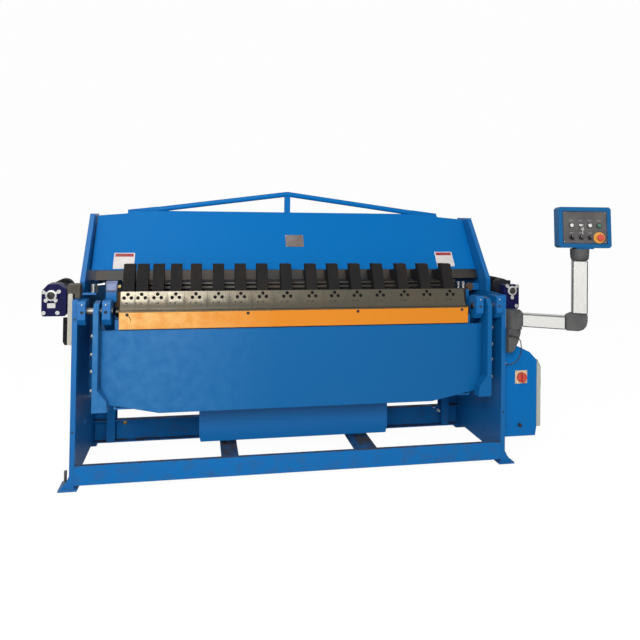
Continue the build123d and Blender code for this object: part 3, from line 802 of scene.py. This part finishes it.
# Worm gearboxes sit on the shelves. The cases are die cast with ribs and painted navy, and
# a bare alloy flange with lugs carries the black cap of the hollow shaft. A cream cover and
# a slotted rack strip hang under the left one.
navy_paint = paint_finish("navy_paint", colour(20, 20, 64), 0.6, 0.3, 0.34)
alloy = steel_finish("bare_alloy", colour(196, 196, 194), 0.2, 0.4, (200.0, 200.0, 200.0), 0.3)
cast_grey = moulded_finish("cast_grey", colour(68, 69, 70), 0.6, 700.0)
cream_paint = paint_finish("cream_paint", colour(190, 186, 172), 0.5, 0.4, 0.45)
for side, ring_x, lugs in (
    ("left", -1377, ((-40, 19), (40, 21), (-26, -26), (24, -27))),
    ("right", 1322, ((-34, 30), (34, 30), (0, -42))),
):
    if side == "left":
        case = recast("gear_case_left", "gearbox_left", 0.005, 3)
    else:
        case = cube("gear_case_right", (1.272, -0.310, 0.925), (1.374, -0.258, 1.076))
        choose(case, "EDGE", lambda c, d: abs(d.y) > 0.9 and (c.z < 1.0 or c.x > 1.3))
        bpy.ops.mesh.bevel(offset=0.010, segments=1, affect="EDGES")
        bpy.ops.object.mode_set(mode="OBJECT")
        rounded(case, 0.004, 3)
        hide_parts("gearbox_right")
    fitted(case, navy_paint, "frame")
    centre = leaning(ring_x, 7, 87)
    ring = [(0.029, -0.002), (0.029, 0.006), (0.021, 0.008), (0.019, 0.002)]
    parts = [shaped("ring", ring, 40)]
    for dx, dz in lugs:
        reach = (dx * dx + dz * dz) ** 0.5 / 1000
        lug = cube("lug", (0.022, -0.006, 0), (reach, 0.006, 0.005))
        boss = [(0.0105, 0), (0.0105, 0.006), (0.005, 0.006), (0.0045, 0.001)]
        lug = joined("lug", [lug, shaped("boss", boss, 24, shift(reach, 0, 0))])
        lug.data.transform(spin(Vector((1, 0)).angle_signed(Vector((dx, -dz))), "Z"))
        parts.append(lug)
    for dx in (-39, 33) if side == "left" else (33,):
        pad = [(0.011, -0.009), (0.011, -0.003), (0.005, -0.003), (0.0045, -0.006)]
        parts.append(shaped("pad", pad, 24, shift(dx / 1000, -0.095, 0)))
    if side == "left":
        plate = plate_on("plate", 0.042, 0.026, 0.0012, 0.003)
        plate.data.transform(shift(0, -0.056, -0.0078))
        parts.append(plate)
    flange = joined("shaft_flange_" + side, parts)
    flange.data.transform(centre)
    smooth(flange)
    fitted(flange, alloy, "frame")
    cap = [(0.0185, 0), (0.0185, 0.006), (0.015, 0.0085), (0.006, 0.0095)]
    fitted(shaped("shaft_cap_" + side, cap, 40, centre), black, "frame")
    rib = cube("rib", (-0.016, -0.002, -0.010), (0.016, 0.002, -0.004))
    rounded(rib, 0.001)
    rib_x = 0.052 if side == "left" else 0.034
    rows = [centre @ shift(rib_x, -0.016 * row, 0) for row in range(1, 6)]
    fitted(placed(rib, "case_ribs_" + side, rows), navy_paint, "frame")
motor_paint = paint_finish("motor_paint", colour(34, 36, 41), 0.4, 0.5, 0.5)
worm = [(0.046, -0.062), (0.052, -0.056), (0.053, -0.050), (0.053, -0.012), (0.050, -0.008)]
worm.append((0.046, -0.008))
worm = shaped("worm_housing", worm, 48, leaning(1318, 113, 95))
fitted(worm, motor_paint, "frame")
brown_cast = moulded_finish("brown_cast", colour(62, 58, 50), 0.6, 700.0)
fitted(recast("gear_brackets", "gearbox_brackets", 0.014, 5), brown_cast, "frame")
fitted(recast("guide_cover", "guide_plate", 0.002), cream_paint, "frame")
fitted(recast("rack_strip", "slotted_strip", 0.001), black_oxide, "frame")


# The motors are cast barrels with cooling fins, a fan cover behind and a terminal box below.
# They are flanged to the gearboxes and painted near black.
fin_count = 32
for side, motor_x in (("left", -1364.5), ("right", 1322)):
    start = leaning(motor_x, 127, 95)
    turned = start @ spin(pi, "Y")
    barrel = [(0.045, 0), (0.045, 0.006), (0.045, 0.142), (0.053, 0.144), (0.053, 0.190)]
    barrel += [(0.046, 0.198), (0.030, 0.198), (0.030, 0.1965), (0.010, 0.1965)]
    pieces = [shaped("barrel", barrel, 40, turned)]
    flange = cube("flange", (-0.050, -0.018, -0.012), (0.050, 0.052, 0))
    rounded(flange, 0.004)
    flange.data.transform(start @ shift(0, -0.008, 0.012))
    pieces.append(flange)
    fin = cube("fin", (-0.0012, 0.043, 0.006), (0.0012, 0.0535, 0.140))
    rounded(fin, 0.0004, 1)
    spokes = [turned @ spin(number * 2 * pi / fin_count, "Z") for number in range(fin_count)]
    pieces.append(placed(fin, "fins", spokes))
    box = cube("terminal_box", (-0.034, -0.062, 0.030), (0.034, -0.040, 0.105))
    rounded(box, 0.004)
    box.data.transform(turned)
    pieces.append(box)
    motor = joined("finned_motor_" + side, pieces)
    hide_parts("gear_motor_" + side)
    fitted(motor, motor_paint, "frame")


# The control arm: a grey die cast seat and knuckle with round corners, two lengths of
# anodised profile that are darker grey on their small faces along the rounded edges and ends, and a cast
# elbow between them.
fitted(recast("arm_seat_casting", "arm_base", 0.006, 4, 15), cast_grey, "frame")
for name, node in (("arm_knuckle", "arm_root"), ("arm_elbow_casting", "arm_elbow")):
    fitted(recast(name, node, 0.007, 4, 15), cast_grey, "control_arm")
flat_area = 0.003
silver_edge = steel_finish("profile_edge", colour(98, 98, 99), 0.1, 0.45, (200.0, 200.0, 200.0), 0.5)
for name, node, grain in (
    ("level_profile", "arm_profile", (20.0, 500.0, 500.0)),
    ("upright_profile", "arm_post", (500.0, 500.0, 20.0)),
):
    silver = steel_finish("silver_" + name, colour(218, 217, 212), 0.05, 0.5, grain, 0.15)
    silver.node_tree.nodes["Principled BSDF"].inputs["Specular IOR Level"].default_value = 0.3
    profile = fitted(recast(name, node, 0.0065, 4), silver, "control_arm")
    profile.data.materials.append(silver_edge)
    for face in profile.data.polygons:
        face.material_index = 0 if face.area > flat_area else 1


# The control box is folded and welded sheet, painted like the machine. A dark grey plate
# is let into its front for the controls, and a cast neck carries it on the arm.
box_place = shift(1.6350, -0.5331, 1.246) @ spin(radians(-10), "Z")
face_place = box_place @ shift(0.020, 0, 0.063) @ spin(radians(-4), "X")
neck = [(0.040, 0.0003), (0.046, 0.003), (0.050, 0.012), (0.052, 0.028), (0.053, 0.050), (0.053, 0.068)]
neck = shaped("cast_neck", neck, 48, box_place)
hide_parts("panel_coupling")
fitted(neck, cast_grey, "control_panel")
box_blue = paint_finish("box_blue", colour(26, 92, 142), 0.6, 0.4, 0.36)
fitted(recast("control_box", "panel_case", 0.005, 4), box_blue, "control_panel")
panel_grey = moulded_finish("panel_grey", colour(80, 77, 79), 0.5, 1200.0)
fitted(recast("control_plate", "panel_face", 0.0006), panel_grey, "control_panel")


def on_box(x, z, lift=0.0):
    return face_place @ shift(x / 1000, -0.033 - lift, z / 1000) @ facing


# Four thin dark navy strips line the inner edges of the control plate: painted shade for the shadow in
# the recess round it.
shade_strip = []
for x, z, width, tall in (
    (0, 224.5, 0.264, 0.005),
    (0, 36.5, 0.264, 0.005),
    (-129.5, 130.5, 0.005, 0.193),
    (129.5, 130.5, 0.005, 0.193),
):
    strip = plate_on("shade_strip", width, tall, 0.0016, 0.0008)
    strip.data.transform(on_box(x, z))
    shade_strip.append(strip)
shade_strip_navy = moulded_finish("shade_strip_navy", colour(14, 44, 74), 0.6)
fitted(joined("plate_shade_strips", shade_strip), shade_strip_navy, "control_panel")
label_grey = moulded_finish("label_grey", colour(128, 125, 127), 0.5, 1200.0)
columns = (-80, -26, 28, 82)
upper_row, lower_row = 142, 70
label = plate_on("label", 0.022, 0.006, 0.0005, 0.001)
label_spots = [on_box(x, upper_row + 29) for x in columns]
label_spots += [on_box(x, lower_row + 28) for x in columns[:3]]
fitted(placed(label, "blank_labels", label_spots), label_grey, "control_panel")
corner = sunk_screw("plate_screw", 0.003)
corner_spots = [on_box(x, z) for x in (-122, 122) for z in (44, 217)]
fitted(placed(corner, "plate_screws", corner_spots), bright_steel, "control_panel")


# Push buttons sit in dark bezels: two white, one green. The key switch has its key in it,
# with a spare on a ring, and the three selectors have a black lever with a white line.
dark_chrome = steel_finish("dark_chrome", colour(64, 64, 66), 0.05, 0.3, (300.0, 300.0, 300.0), 0.6)
bezel = [(0.0155, 0), (0.0155, 0.004), (0.0130, 0.007), (0.0118, 0.007), (0.0115, 0.002)]
button_x, lock_x = (columns[0], columns[2], columns[3]), columns[1]
bezel_spots = [on_box(x, upper_row) for x in button_x]
bezels = placed(shaped("bezel", bezel, 32), "button_bezels", bezel_spots)
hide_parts("control_rings")
fitted(bezels, dark_chrome, "control_panel")
green = moulded_finish("green_plastic", colour(44, 120, 92), 0.35, 1500.0)
for x, name, finish, slot in zip(
    button_x,
    ("left", "middle", "right"),
    (white, white, green),
    ("white_plastic", "white_plastic", "green_plastic"),
):
    steps = [(0.0108, 0.0053), (0.0108, 0.0088), (0.0098, 0.0102), (0.005, 0.0106)]
    button = shaped("domed_button_" + name, steps, 32, on_box(x, upper_row))
    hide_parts("push_button_" + name)
    fitted(button, finish, "push_button_" + name + "_body")
lock_at = on_box(lock_x, upper_row)
lock = [(0.0115, 0.0003), (0.0115, 0.004), (0.0098, 0.007), (0.0092, 0.009), (0.004, 0.009)]
lock = shaped("lock_barrel", lock, 32, lock_at)
key_shank = cube("key_shank", (-0.0011, -0.003, 0.008), (0.0011, 0.003, 0.016))
rounded(key_shank, 0.0004)
bow = [(0.010, -0.0012), (0.010, 0.0012), (0.004, 0.0012), (0.0035, -0.0010)]
bow = shaped("key_bow", bow, 24, shift(0, 0, 0.0245) @ spin(pi / 2, "Y"))
key = joined("key", [key_shank, bow])
key.data.transform(lock_at)
key = joined("key_in_lock", [lock, key])
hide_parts("key_switch")
fitted(key, bright_steel, "key_switch_body")
bare_selection()
bpy.ops.mesh.primitive_torus_add(
    major_radius=0.009, minor_radius=0.0008, major_segments=28, minor_segments=8
)
ring = bpy.context.object
ring.data.transform(shift(0, -0.010, 0.0235) @ spin(radians(25), "Y"))
spare = plate_on("spare_key", 0.0055, 0.030, 0.0016, 0.0008)
spare.data.transform(shift(0.002, -0.040, 0.022))
bow = [(0.0095, 0), (0.0095, 0.0018), (0.004, 0.0018), (0.0035, 0.0004)]
bow = shaped("spare_bow", bow, 24, shift(0.001, -0.0225, 0.022))
spare = joined("spare_key_on_ring", [ring, spare, bow])
spare.data.transform(lock_at)
fitted(spare, bright_steel, "control_panel")
for name, x in zip(("left", "middle", "right"), columns):
    base = [(0.0128, 0.0003), (0.0128, 0.005), (0.0112, 0.0088), (0.006, 0.0088)]
    base = shaped("base", base, 32)
    grip = cube("grip", (-0.004, -0.0125, 0.008), (0.004, 0.0125, 0.021))
    choose(grip, "FACE", lambda c, n: n.z > 0.9)
    bpy.ops.transform.resize(value=(0.7, 0.92, 1))
    bpy.ops.object.mode_set(mode="OBJECT")
    rounded(grip, 0.0012)
    knob = joined("selector_knob_" + name, [base, grip])
    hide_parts("selector_" + name)
    mark = plate_on("selector_mark_" + name, 0.0016, 0.010, 0.0004, 0.0004)
    mark.data.transform(shift(0, 0.005, 0.0209))
    tilt = on_box(x, lower_row) @ spin(radians(28), "Z")
    for piece, finish in ((knob, black), (mark, white)):
        piece.data.transform(tilt)
        fitted(piece, finish, "selector_" + name + "_body")


# The emergency stop is a red mushroom button of 40 mm. It is moulded in plastic and stands
# on a round yellow collar at the end of the lower row.
yellow = moulded_finish("yellow_plastic", colour(226, 158, 62), 0.4, 1500.0)
red = moulded_finish("red_plastic", colour(204, 62, 40), 0.3, 1500.0)
stop_at = on_box(columns[3], lower_row)
collar = [(0.033, 0), (0.033, 0.005), (0.030, 0.008), (0.013, 0.008), (0.012, 0.002)]
collar = shaped("stop_collar", collar, 48, stop_at)
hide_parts("estop_collar")
fitted(collar, yellow, "control_panel")
mushroom = [(0.0085, 0.0063), (0.0085, 0.014), (0.0165, 0.017), (0.0195, 0.021)]
mushroom += [(0.020, 0.025), (0.0175, 0.028), (0.008, 0.029)]
mushroom = shaped("stop_mushroom", mushroom, 48, stop_at)
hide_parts("emergency_stop")
fitted(mushroom, red, "emergency_stop_body")


# The electrical cabinet is folded sheet, hung on the outside of the right plate, with a
# textured beige door on its end and black cable glands in the front.
cabinet_blue = paint_finish("cabinet_blue", colour(8, 106, 176), 0.7, 0.5, 0.38)
fitted(recast("sheet_cabinet", "cabinet", 0.005, 3), cabinet_blue, "frame")
beige = paint_finish("beige_paint", colour(176, 178, 168), 0.3, 0.4, 0.5)
fitted(recast("textured_door", "cabinet_door", 0.003, 2), beige, "door")
nut = [(0.0125, -0.004), (0.0125, 0.007), (0.0105, 0.007), (0.0105, 0.014)]
dome = [(0.010, 0.007), (0.010, 0.014), (0.0075, 0.018), (0.003, 0.018)]
glands = []
for place, size in (
    (shift(1.377, -0.32, 0.212) @ facing, 1.0),
    (shift(1.269, -0.396, 0.778) @ facing, 0.8),
):
    gland = joined("gland", [shaped("nut", nut, 6), shaped("dome", dome, 24)])
    gland.data.transform(place @ Matrix.Scale(size, 4))
    glands.append(gland)
glands = joined("cable_gland_set", glands)
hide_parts("cable_glands")
fitted(glands, black, "frame")
blank = [(0.011, -0.003), (0.011, 0.002), (0.008, 0.004), (0.004, 0.004)]
pale = [(0.0105, -0.003), (0.0105, 0.008), (0.007, 0.014), (0.0045, 0.018)]
for name, steps, x, z, finish in (
    ("blanking_plug", blank, 1.303, 0.212, cabinet_blue),
    ("pale_gland", pale, 1.272, 0.594, white),
):
    fitted(shaped(name, steps, 24, shift(x, -0.32, z) @ facing), finish, "frame")


# The main switch is a red rotary handle on a square pale yellow plate, held at its corners
# by four small screws.
switch_yellow = moulded_finish("switch_yellow", colour(226, 200, 160), 0.45, 1500.0)
fitted(recast("switch_surround", "switch_plate", 0.001), switch_yellow, "frame")
fitted(recast("switch_handle", "main_switch", 0.003, 3), red, "main_knob")
corner = sunk_screw("switch_screw", 0.003)
corners = [(x, z) for x in (1.351, 1.419) for z in (0.473, 0.541)]
corners = [shift(x, -0.323, z) @ facing for x, z in corners]
fitted(placed(corner, "switch_screws", corners), bright_steel, "frame")


# A plain pale floor and soft studio light. The floor shows white to the camera and keeps
# a little of the machine's shadow.
bare_selection()
bpy.ops.mesh.primitive_plane_add(size=40, location=(0, 0, -0.0005))
floor = bpy.context.object
floor.name = "floor"
ground = bpy.data.materials.new("pale_floor")
ground.use_nodes = True
tree = ground.node_tree
tree.nodes.clear()
plain = add_node(tree, "BsdfDiffuse", Color=(0.62, 0.62, 0.62, 1))
glow = add_node(tree, "Emission", Color=(1, 1, 1, 1), Strength=1.07)
mix = tree.nodes.new("ShaderNodeMixShader")
path = tree.nodes.new("ShaderNodeLightPath")
tree.links.new(maths(tree, "MULTIPLY", path.outputs["Is Camera Ray"], 0.9), mix.inputs[0])
tree.links.new(plain.outputs[0], mix.inputs[1])
tree.links.new(glow.outputs[0], mix.inputs[2])
tree.links.new(mix.outputs[0], tree.nodes.new("ShaderNodeOutputMaterial").inputs[0])
painted(floor, ground)
world = bpy.data.worlds.new("studio")
bpy.context.scene.world = world
world.use_nodes = True
tree = world.node_tree
tree.nodes.clear()
path = tree.nodes.new("ShaderNodeLightPath")
seen = maths(tree, "MAXIMUM", path.outputs["Is Camera Ray"], path.outputs["Is Transmission Ray"])
seen = maths(tree, "MAXIMUM", seen, path.outputs["Is Glossy Ray"])
strength = span(tree, seen, 0.0, 1.0, 0.30, 0.985)
sky = add_node(tree, "Background", Color=(1, 1, 1, 1), Strength=strength)
tree.links.new(sky.outputs[0], tree.nodes.new("ShaderNodeOutputWorld").inputs[0])
for name, place, aim, size, power in (
    ("key_light", (-1.6, -5.2, 3.3), (0, 0, 0.9), 2.1, 225),
    ("low_light", (-1.7, -5.2, 0.5), (-0.9, 0, 0.9), 0.95, 18),
    ("fill_light", (2.8, -5.6, 2.6), (0, 0, 0.9), 3.0, 70),
    ("top_light", (-1.7, -1.2, 4.8), (0, 0, 0.8), 2.5, 40),
):
    lamp = bpy.data.lights.new(name, "AREA")
    lamp.size = size
    lamp.energy = power
    light = bpy.data.objects.new(name, lamp)
    light.visible_glossy = name != "fill_light"
    light.location = place
    light.rotation_mode = "QUATERNION"
    light.rotation_quaternion = (Vector(aim) - Vector(place)).to_track_quat("-Z", "Y")
    bpy.context.scene.collection.objects.link(light)
